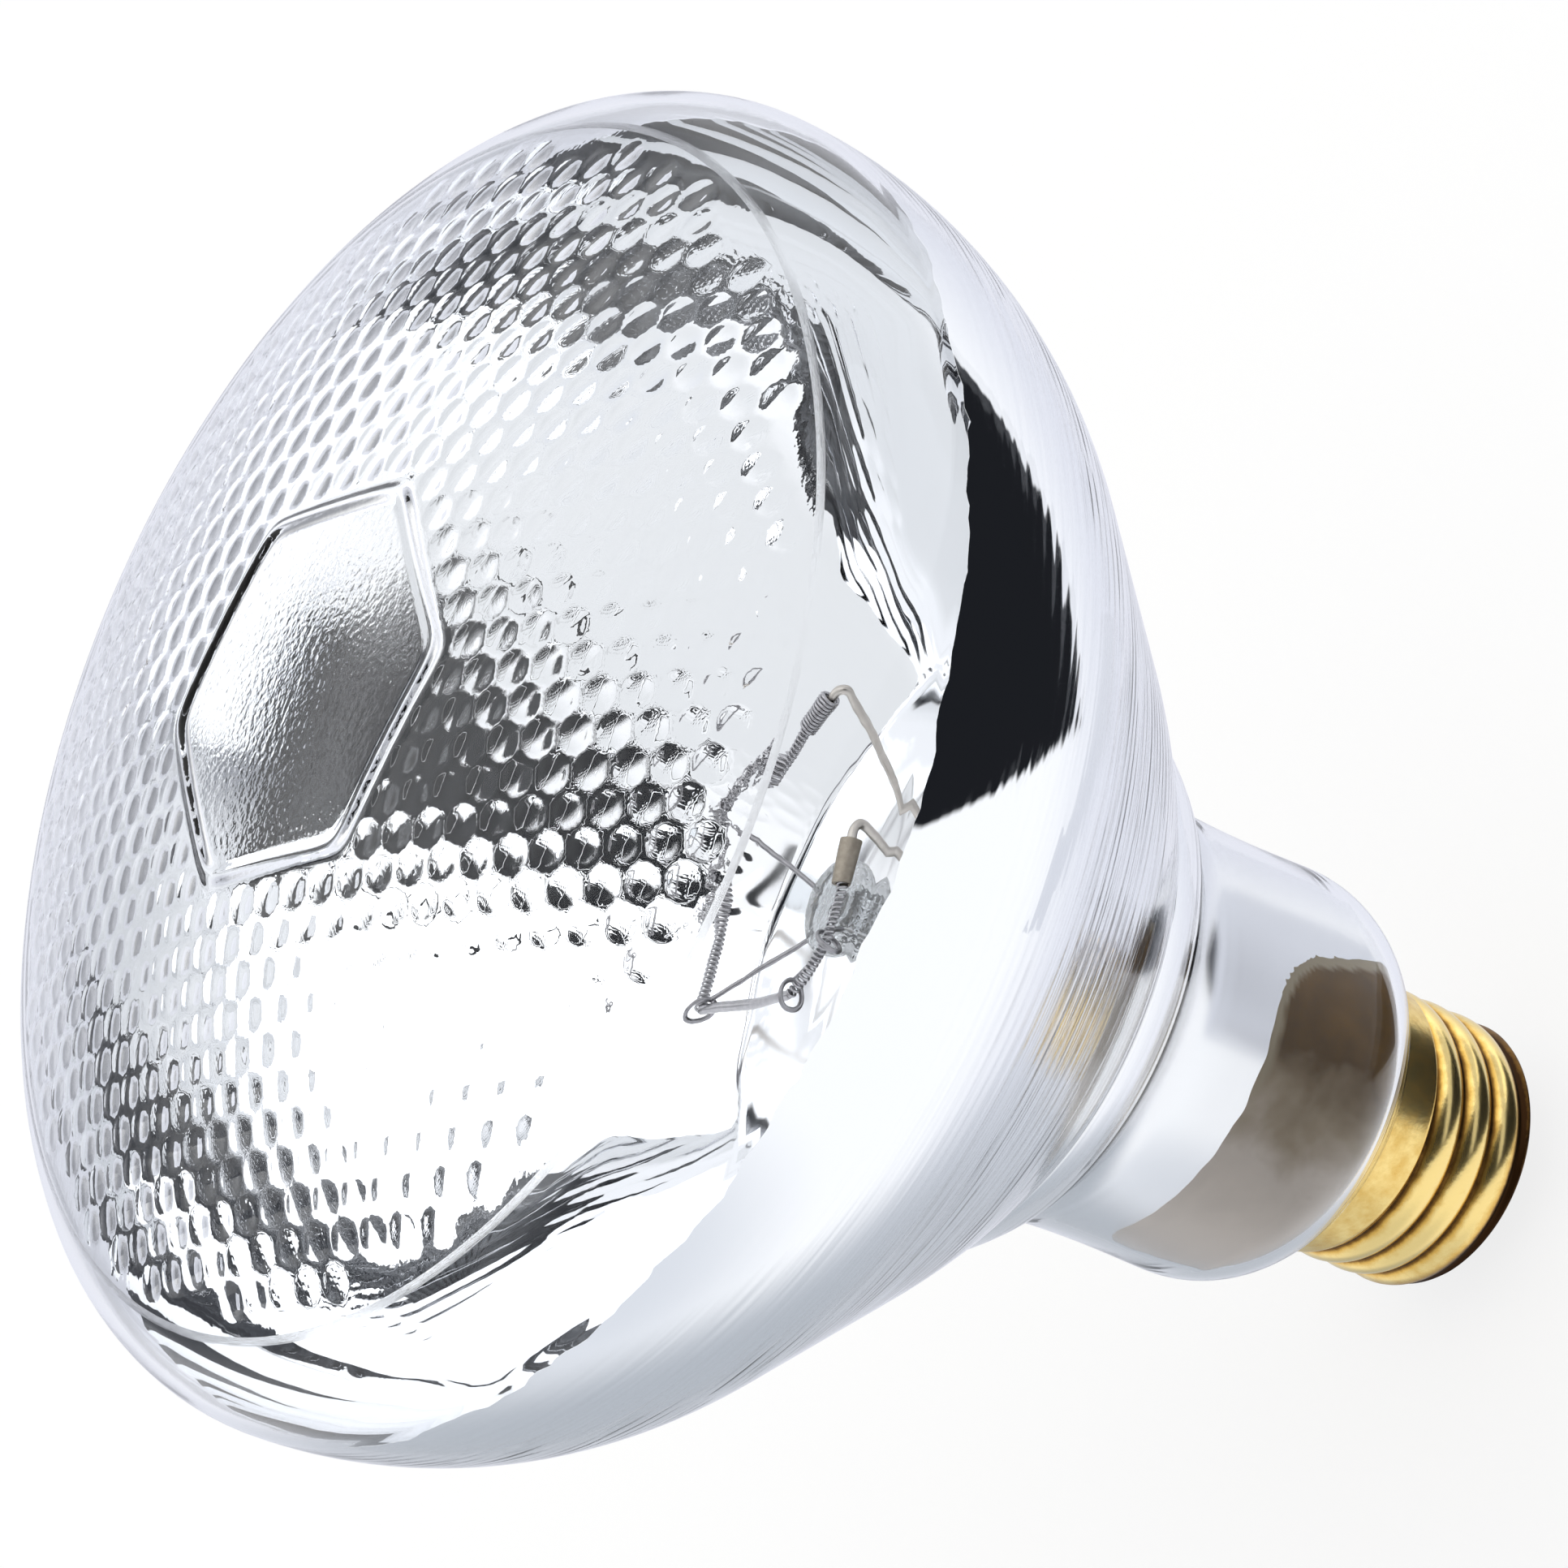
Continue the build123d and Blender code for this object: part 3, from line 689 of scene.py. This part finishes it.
def buildEnvelope():
    # the face is a ball with its relief added outwards; the walls are the outlines carried round the axis
    columns = envelope["columns"]
    turn = np.arange(columns) / columns * 2 * np.pi
    flat, faceTriangles = faceMesh(ballRadius * np.sin(capTurn), turn)
    lean = flat / ballRadius
    outward = np.concatenate([lean, np.sqrt(1 - (lean ** 2).sum(-1, keepdims=True))], -1)
    face = outward * (ballRadius + faceRelief(flat[:, 0], flat[:, 1]))[:, None] + (0, 0, ballCentre)
    face[:, 2] = np.minimum(face[:, 2], glassHigh[2])
    spin = np.arctan2(flat[:, 1], flat[:, 0]) % (2 * np.pi - 1e-6)
    border = np.flatnonzero(np.hypot(*flat.T) > ballRadius * np.sin(capTurn) - 1e-3)
    border = border[np.argsort(spin[border])]

    def wavyWall(line, place, size, length):
        # the rim's clear band cooled unevenly: slow waves push the wall in, square to its own slope
        r, z = onOutline(line, place)
        flat = ringPoints(r, z, turn).reshape(len(place), columns, 3)
        end = line[0][-1]
        band = smoothStep(z, rimHeight - 6, rimHeight) * (1 - smoothStep(place, end - 3, end))
        push = size * (waves(flat * envelope["waveStretch"], length) + 2) * band[:, None]
        slant = np.interp(place, line[0], line[3])[:, None]
        return ringPoints(r[:, None] - push * np.cos(slant), z[:, None] + push * np.sin(slant), turn)

    rows = outlineRows(outerLine, 0, outerLine[0][-1], envelope["longestRow"], envelope["sharpestRow"])
    outer = wavyWall(outerLine, rows[:-1], *envelope["rimWave"])
    innerRows = outlineRows(
        innerLine, 0, innerLine[0][-1], envelope["innerLongest"], envelope["innerSharpest"])
    inner = wavyWall(innerLine, innerRows, *envelope["innerWave"])
    capRows = np.linspace(capTurn, 0, envelope["innerCapRows"])[1:-1]
    innerBall = ballRadius - bulb["wall"]
    cap = ringPoints(innerBall * np.sin(capRows), ballCentre + innerBall * np.cos(capRows), turn)
    points = np.concatenate([face, outer, inner, cap, [(0, 0, ballCentre + innerBall)]])

    outerStart, innerStart = len(face), len(face) + len(outer)
    topRow, pole = innerStart - columns, len(points) - 1
    step = np.arange(columns)
    nextStep = (step + 1) % columns
    groups = [
        faceTriangles,
        ringQuads(len(rows) - 1, columns, outerStart),
        np.stack([topRow + step, topRow + nextStep, border[nextStep], border[step]], -1),
        ringQuads(len(innerRows) + len(capRows), columns, innerStart)[:, ::-1],
        np.stack([pole - columns + nextStep, pole - columns + step, np.full(columns, pole)], -1),
        np.stack([outerStart + nextStep, outerStart + step, innerStart + step, innerStart + nextStep], -1),
    ]
    piece = makePiece("glass_bulb", points, groups, clearGlass, "clear_glass", "glass_envelope")

    # the peel is deep inside the hexagon and shallow on the rest of the face; the rings lie round the outer
    # wall, deepest on the cone and faint on the neck and the rim
    inHexagon = 1 - smoothStep(hexagonDistance(flat[:, 0], flat[:, 1]), -1.8, -0.8)
    wall = slice(outerStart, innerStart)
    height = points[wall, 2]
    lowShare, neckShare, faceShare = envelope["ringOnLowCone"], envelope["ringOnNeck"], envelope["peelOnFace"]
    onCone = smoothStep(height, *envelope["lowCone"])
    onCone *= lowShare + (1 - lowShare) * smoothStep(height, *envelope["highCone"])
    onCone *= 1 - smoothStep(height, *(rimHeight - drop for drop in envelope["underRim"]))
    relief, grain = np.zeros(len(points)), points / envelope["peelSize"]
    relief[:len(face)] = envelope["peelDepth"] * (faceShare + (1 - faceShare) * inHexagon)
    relief[wall] = envelope["ringDepth"] * (neckShare + (1 - neckShare) * onCone)
    grain[wall] = points[wall] / envelope["ringRun"]
    grain[wall, 2] = np.repeat(rows[:-1], columns) / envelope["ringWidth"]
    attributes = piece.data.attributes
    attributes.new("relief", "FLOAT", "POINT").data.foreach_set("value", relief.astype(np.float32))
    grain = grain.astype(np.float32).ravel()
    attributes.new("grain", "FLOAT_VECTOR", "POINT").data.foreach_set("vector", grain)


buildEnvelope()


def closedSheet(front, back, quads):
    # a thin sheet: a front, a back and a rim along every edge that only one quad has
    count = len(front)
    start, end = quads.ravel(), np.roll(quads, -1, axis=1).ravel()
    lone = ~np.isin(start * count + end, end * count + start)
    rim = np.stack([end[lone], start[lone], start[lone] + count, end[lone] + count], -1)
    return np.concatenate([front, back]), [quads, quads[:, ::-1] + count, rim]


# mirror film: the inner outline again, with a ragged upper edge and the bare window on the neck

film = dict(
    inset=1.08,
    thickness=0.02,
    columns=320,
    longestRow=1.2,
    neckRow=0.5,
    neckTop=53.0,
    sharpestRow=4.0,
    raggedEdge=0.35,
    raggedWaves=[(0.25, 0.6), (0.05, 0.4)],  # length as a share of the rim's radius, and part of the whole
    raggedBand=5.0,
    windowTurn=-101.0,
    windowRadius=19.3,
    windowHalfWidth=18.9,
    windowRise=0.5,
    windowHeight=17.8,
    windowCorner=5.6,
    windowSkew=0.3,
    windowRagged=0.07,
    sharpAngle=0.8,
)

# the stain and painted shade in the window: angles from the window's middle, and mm from its edge
stainAndShade = dict(
    reach=0.8,
    overlap=1.2,
    fadeTurn=(-50.0, 55.0),
    fadeFull=0.75,
    rimDepth=(0.9, 1.3),
    rimTurn=(-30.0, 10.0),
)
filmLow, filmHigh = (np.array(corner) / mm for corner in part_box("reflector_film"))


def windowDistance(turn, height):
    # how far a point of the neck lies outside the bare window: a rounded rectangle, unrolled round the neck
    middle = filmLow[2] + film["windowRise"] + film["windowHeight"] / 2
    offTurn = np.angle(np.exp(1j * (turn - np.radians(film["windowTurn"]))))
    across = np.abs(offTurn * film["windowRadius"] + film["windowSkew"] * (height - middle))
    across = across - film["windowHalfWidth"] + film["windowCorner"]
    up = np.abs(height - middle) - film["windowHeight"] / 2 + film["windowCorner"]
    outside = np.hypot(np.maximum(across, 0), np.maximum(up, 0))
    return outside + np.minimum(np.maximum(across, up), 0) - film["windowCorner"]


def buildFilm():
    # the outline carried round the axis as a thin closed sheet, less the quads that lie in the window
    line = walkRuns(outlineRuns, film["inset"])
    low, neck, high = np.interp([filmLow[2], film["neckTop"], filmHigh[2]], line[2], line[0])
    place = np.concatenate([
        outlineRows(line, low, neck, film["neckRow"], film["sharpestRow"])[:-1],
        outlineRows(line, neck, high, film["longestRow"], film["sharpestRow"]),
    ])
    columns = film["columns"]
    turn = np.broadcast_to(np.arange(columns) / columns * 2 * np.pi, (len(place), columns)).copy()
    place = np.broadcast_to(place[:, None], turn.shape).copy()
    circle = np.stack([np.cos(turn[0]), np.sin(turn[0])], -1)
    ragged = sum(waves(circle, length, 14) * part for length, part in film["raggedWaves"])
    place += film["raggedEdge"] * ragged * smoothStep(place, high - film["raggedBand"], high)

    # points beside the window slide onto its edge, then what lies inside is left out
    uneven = waves(np.stack([turn * 6, place * 0.7], -1), 1.3, 16) * film["windowRagged"]
    neckHeight = onOutline(line, place)[1]
    edge = windowDistance(turn, neckHeight) + uneven
    small = 0.01
    pullTurn = (windowDistance(turn + small / film["windowRadius"], neckHeight) - edge + uneven) / small
    pullUp = (windowDistance(turn, neckHeight + small) - edge + uneven) / small
    near = (np.abs(edge) < film["neckRow"] * 0.6) & (neckHeight < film["neckTop"])
    turn -= np.where(near, edge * pullTurn / film["windowRadius"], 0)
    place -= np.where(near, edge * pullUp, 0)
    r, z = onOutline(line, place)
    slant = np.interp(place, line[0], line[3])
    quads = ringQuads(len(place), columns)

    def layer(depth):
        # the film's points, moved inwards, square to the wall
        inner, up = r - depth * np.cos(slant), z + depth * np.sin(slant)
        return np.stack([inner * np.cos(turn), inner * np.sin(turn), up], -1).reshape(-1, 3)

    deepest = np.where(near, 0, edge).ravel()[quads].min(1)
    used, compact = np.unique(quads[deepest >= -0.001], return_inverse=True)
    sheet = closedSheet(layer(0)[used], layer(film["thickness"])[used], compact.reshape(-1, 4))
    skin = makePiece("mirror_film", *sheet, mirrorFilm, "mirror_film", "reflector_film")
    skin.data.set_sharp_from_angle(angle=film["sharpAngle"])

    # the stain, with painted shade for the bulb's dark inside, fills the window just inside the film, and
    # reaches a little under it all round
    stainedAndShaded = quads[deepest < stainAndShade["reach"]]
    stainedAndShaded = stainedAndShaded[(edge.ravel()[stainedAndShaded] < stainAndShade["overlap"]).all(1)]
    used, compact = np.unique(stainedAndShaded, return_inverse=True)
    front, back = (layer(film["thickness"] * depth)[used] for depth in (1.5, 2.5))
    sheet = closedSheet(front, back, compact.reshape(-1, 4))
    patch = makePiece("window_stain_and_painted_shade", *sheet, windowStainAndShade, "mirror_film")
    patch.data.set_sharp_from_angle(angle=film["sharpAngle"])
    used = np.tile(used, 2)
    depth = -edge.ravel()[used]
    fromMiddle = -np.degrees(np.angle(np.exp(1j * (turn - np.radians(film["windowTurn"])))).ravel()[used])
    values = dict(
        fade=smoothStep(fromMiddle, *stainAndShade["fadeTurn"]) * stainAndShade["fadeFull"],
        edge=(1 - smoothStep(depth, *stainAndShade["rimDepth"])) * (1 - smoothStep(fromMiddle, *stainAndShade["rimTurn"])),
    )
    for name, value in values.items():
        patch.data.attributes.new(name, "FLOAT", "POINT").data.foreach_set("value", value.astype(np.float32))


buildFilm()


# screw shell: thin brass whose thread shows on both sides

shell = dict(
    crest=13.1,
    depth=0.69,
    pitch=3.629,
    crestWidth=3.4,
    startTurn=90.0,
    startHeight=3.0,
    grooveSoftness=0.09,
    collar=13.25,
    collarHeight=4.4,
    collarBlend=(0.7, 0.25),  # mm below and above the collar's lower edge
    wall=0.3,
    foot=2.5,
    lip=1.15,
    columns=256,
    footRows=13,
    footShare=0.6,  # of the foot's height, where its rows end
    rows=190,
    innerRows=60,
    collarTarnish=0.12,
    # how deep the painted shade in the grooves is
    grooveShade=0.62,
    footTarnish=0.6,
    footBand=(0.4, 4.2),
)
shellLow, shellHigh = (np.array(corner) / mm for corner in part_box("screw_shell"))


def shellRadius(turn, height):
    # root cylinder plus a round crest that climbs one pitch a turn; the collar and the rounded foot close its
    # ends. The second result is the depth in the groove, about 0 on a crest and 1 at the root
    root = shell["crest"] - shell["depth"]
    crestArc = (shell["crestWidth"] ** 2 / 4 + shell["depth"] ** 2) / (2 * shell["depth"])
    climb = (turn - np.radians(shell["startTurn"])) / (2 * np.pi) * shell["pitch"] + shell["startHeight"]
    fromCrest = (height - climb + shell["pitch"] / 2) % shell["pitch"] - shell["pitch"] / 2
    crest = np.sqrt(np.maximum(crestArc ** 2 - fromCrest ** 2, 0)) - crestArc + shell["depth"]
    soft = shell["grooveSoftness"]
    crest = 0.5 * (crest + np.sqrt(crest ** 2 + soft ** 2))
    thread = root + crest - soft * 0.5
    collarBottom = shellHigh[2] - shell["collarHeight"]
    under, over = shell["collarBlend"]
    blend = smoothStep(height, collarBottom - under, collarBottom + over)
    radius = np.maximum(thread, root) * (1 - blend) + shell["collar"] * blend
    rise = np.clip(shell["foot"] - (height - shellLow[2]), 0, shell["foot"])
    rounded = shell["collar"] - shell["foot"] + np.sqrt(np.maximum(shell["foot"] ** 2 - rise ** 2, 0))
    return np.minimum(radius, rounded), (shell["crest"] - thread) / shell["depth"]


def buildShell():
    # the profile runs up the outside from the mouth's lower lip, and then up the inside from its upper lip
    columns = shell["columns"]
    turn = np.arange(columns) / columns * 2 * np.pi
    low, high = shellLow[2], shellHigh[2]
    mouth = shell["collar"] - shell["foot"] - shell["lip"]
    footAngle = np.linspace(0, np.pi / 2, shell["footRows"] + 1)[:-1]
    footEnd = shell["foot"] * shell["footShare"]
    outerHeight = np.concatenate([
        low + footEnd * (1 - np.cos(footAngle)),
        np.linspace(low + footEnd, high, shell["rows"]),
    ])
    innerHeight = np.linspace(low + shell["wall"], high, shell["innerRows"])
    outer, groove = shellRadius(turn[None, :], outerHeight[:, None])
    inner, innerGroove = shellRadius(turn[None, :], innerHeight[:, None])
    inner = np.maximum(inner - shell["wall"], mouth)
    lipLow = np.full((1, columns), mouth)
    points = np.concatenate([
        ringPoints(lipLow, np.array([low]), turn),
        ringPoints(outer, outerHeight, turn),
        ringPoints(lipLow, np.array([low + shell["wall"]]), turn),
        ringPoints(inner, innerHeight, turn),
    ])
    outerCount, innerCount = len(outerHeight) + 1, len(innerHeight) + 1
    innerStart = outerCount * columns
    step = np.arange(columns)
    nextStep = (step + 1) % columns
    top, innerTop = innerStart - columns, innerStart + (innerCount - 1) * columns
    topEdge = np.stack([top + step, top + nextStep, innerTop + nextStep, innerTop + step], -1)
    mouthEdge = np.stack([innerStart + step, innerStart + nextStep, nextStep, step], -1)
    outerWall = ringQuads(outerCount, columns)
    innerWall = ringQuads(innerCount, columns, innerStart)[:, ::-1]
    groups = [outerWall, innerWall, topEdge, mouthEdge]
    piece = makePiece("screw_shell_brass", points, groups, rolledBrass, "shell_brass", "screw_shell")

    # light tarnish on the collar, painted shade deep in the grooves, and more tarnish towards the foot
    height = points[:, 2]
    shadeAndTarnish = np.concatenate([np.ones(columns), groove.ravel(), np.ones(columns), innerGroove.ravel()])
    onCollar = height > high - shell["collarHeight"] - 0.2
    shadeAndTarnish = np.where(onCollar, shell["collarTarnish"], shadeAndTarnish ** 2 * shell["grooveShade"])
    shadeAndTarnish += shell["footTarnish"] * (1 - smoothStep(height, *(low + band for band in shell["footBand"])))
    shadeAndTarnish = shadeAndTarnish.astype(np.float32)
    piece.data.attributes.new("groove", "FLOAT", "POINT").data.foreach_set("value", shadeAndTarnish)


buildShell()


# filament: a real coil from clamp to clamp, hung on its hooks, with one stretch of plain rod

coil = dict(
    height=83.0,
    supports=[(-112.5, 7.8), (-150.0, 10.0), (145.5, 16.2), (80.0, 18.0)],
    leads=[(24.8, 20.3), (-23.0, 8.4)],
    leadTail=4.0,
    radius=0.52,
    wire=0.14,
    pitch=0.48,
    turnSteps=14,
    wireSides=6,
    bend=1.2,
    sag=0.5,
    rodRadius=0.5,
    rodSides=12,
    rodStep=6,
    endRadius=0.84,
    endWire=0.17,
    endPitch=0.36,
    endLength=4.0,
)


def sweepTube(centre, normal, radius, sides):
    # a circle carried along a line of points, squared up to the line at each of them, with closed ends
    heading = np.gradient(centre, axis=0)
    heading /= np.linalg.norm(heading, axis=1)[:, None]
    normal = normal - heading * (normal * heading).sum(1)[:, None]
    normal /= np.linalg.norm(normal, axis=1)[:, None]
    binormal = np.cross(heading, normal)
    around = np.arange(sides) / sides * 2 * np.pi
    ring = normal[:, None] * np.cos(around)[:, None] + binormal[:, None] * np.sin(around)[:, None]
    first = np.arange(sides)
    caps = np.array([first[::-1], first + (len(centre) - 1) * sides])
    return (centre[:, None] + radius * ring).reshape(-1, 3), [ringQuads(len(centre), sides), caps]


def windCoil(path, place, radius, pitch):
    # a line that turns about a path: up and sideways from it by the cosine and sine of its winding angle
    heading = np.gradient(path, axis=0)
    heading /= np.linalg.norm(heading, axis=1)[:, None]
    sideways = np.cross(heading, (0, 0, 1))
    sideways /= np.linalg.norm(sideways, axis=1)[:, None]
    winding = (place / pitch * 2 * np.pi)[:, None]
    outward = np.cross(sideways, heading) * np.cos(winding) + sideways * np.sin(winding)
    return path + radius * outward, outward


def joinParts(parts):
    # several tubes as one list of points and faces
    starts = np.cumsum([0] + [len(points) for points, groups in parts])
    groups = [group + start for (points, partGroups), start in zip(parts, starts) for group in partGroups]
    return np.concatenate([points for points, partGroups in parts]), groups


def buildFilament():
    # straight spans from hook to hook, smoothed at the bends, each sagging by a squared sine; the wire winds
    # about that path
    def ringPoint(turn, reach):
        # a point at an angle and a distance from the axis, on the filament's level
        angle = np.radians(turn)
        return np.array([reach * np.cos(angle), reach * np.sin(angle), coil["height"]])

    hooks = [ringPoint(*pair) for pair in coil["supports"]]
    corners = [ringPoint(*pair) for pair in coil["leads"]]
    leadRuns = [hooks[-1] - corners[0], hooks[0] - corners[1]]
    ways = [run / np.linalg.norm(run) for run in leadRuns]
    ends = [corner + way * coil["leadTail"] for corner, way in zip(corners, ways)]
    knots = np.array([ends[1], *hooks, ends[0]])
    gaps = np.linalg.norm(np.diff(knots, axis=0), axis=1)
    marks = np.concatenate([[0], np.cumsum(gaps)])
    place = np.linspace(0, marks[-1], int(marks[-1] / coil["pitch"] * coil["turnSteps"]))
    path = np.stack([np.interp(place, marks, knots[:, k]) for k in range(3)], -1)
    width = int(coil["bend"] / (place[1] - place[0]))
    kernel = np.hanning(2 * width + 1)
    padded = np.pad(path, ((width, width), (0, 0)), mode="reflect", reflect_type="odd")
    path = np.stack([np.convolve(padded[:, k], kernel / kernel.sum(), "valid") for k in range(3)], -1)
    span = np.clip(np.searchsorted(marks, place, "right") - 1, 0, len(gaps) - 1)
    alongSpan = (place - marks[span]) / gaps[span]
    path[:, 2] -= coil["sag"] * np.sin(np.pi * alongSpan) ** 2 * gaps[span] / gaps.max()
    turns, outward = windCoil(path, place, coil["radius"], coil["pitch"])
    before, rod, after = place <= marks[2], (place >= marks[2]) & (place <= marks[3]), place >= marks[3]
    rodPath = path[rod][::coil["rodStep"]]
    upward = np.broadcast_to((0.0, 0.0, 1.0), rodPath.shape)
    points, groups = joinParts([
        sweepTube(turns[before], outward[before], coil["wire"], coil["wireSides"]),
        sweepTube(rodPath, upward, coil["rodRadius"], coil["rodSides"]),
        sweepTube(turns[after], outward[after], coil["wire"], coil["wireSides"]),
    ])
    makePiece("tungsten_coil", points, groups, drawnTungsten, "tungsten", "filament")

    # the first lead's end is wound close instead of crimped
    count = int(coil["endLength"] / coil["endPitch"] * coil["turnSteps"])
    place = np.linspace(-coil["endLength"] / 2, coil["endLength"] / 2, count)
    path = ends[0] + ways[0] * place[:, None]
    turns, outward = windCoil(path, place, coil["endRadius"], coil["endPitch"])
    points, groups = sweepTube(turns, outward, coil["endWire"], coil["wireSides"])
    makePiece("wound_lead_end", points, groups, drawnTungsten, "crimp_metal", "filament_clamp_1")


buildFilament()


# the CAD pieces that stay get their own finishes

nodeMaterials = {
    "glass_stem": stemGlass,
    # nickel wire, drawn and bent: warm grey, with a satin shine
    "inner_lead": mottledMaterial("drawn_nickel", "#d4cfc9", "#b0aaa3", 0.35, 0.8),
    # nickel sleeve, crimped and then heated: dull, with a straw-coloured oxide
    "filament_clamp": mottledMaterial("crimped_nickel_oxide", "#cfc6b8", "#a1978a", 0.6, 0.5),
    # molybdenum wire, drawn: darker than the coil, and as bright
    "support_wire": mottledMaterial("drawn_molybdenum", "#a9a8ab", "#77767a", 0.3, 0.7),
    # copper wire, drawn, and browned by the sealing flame
    "outer_lead": mottledMaterial("copper_wire", "#c98c66", "#8e5a3c", 0.35, 0.8),
    # cement of resin and stone flour, baked hard: matt and tan
    "basing_cement": mottledMaterial("basing_cement", "#b7a588", "#8f7d63", 0.9, 1.2, 0.0),
    # tin-lead solder, set from a drop: grey, with a soft shine
    "side_solder": mottledMaterial("tin_lead_solder", "#b4b3ae", "#85847f", 0.4, 0.7),
    # the same solder, rubbed by a socket's spring: a little paler and brighter
    "contact_solder": mottledMaterial("tin_lead_solder_worn", "#b9b8b2", "#8b8a84", 0.35, 0.9),
    # black glass, moulded into the shell: glossy, with a violet cast
    "base_insulator": mottledMaterial("moulded_black_glass", "#1d1a20", "#2b2533", 0.12, 1.5, 0.0),
    # brass sheet, stamped: yellow, evenly dulled
    "centre_contact": mottledMaterial("stamped_brass", "#c9a24f", "#93702f", 0.28, 0.9),
}
for name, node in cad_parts.items():
    for start, material in nodeMaterials.items():
        if name.startswith(start):
            node.material_slots[0].material = material
print("finishes set on the CAD pieces")
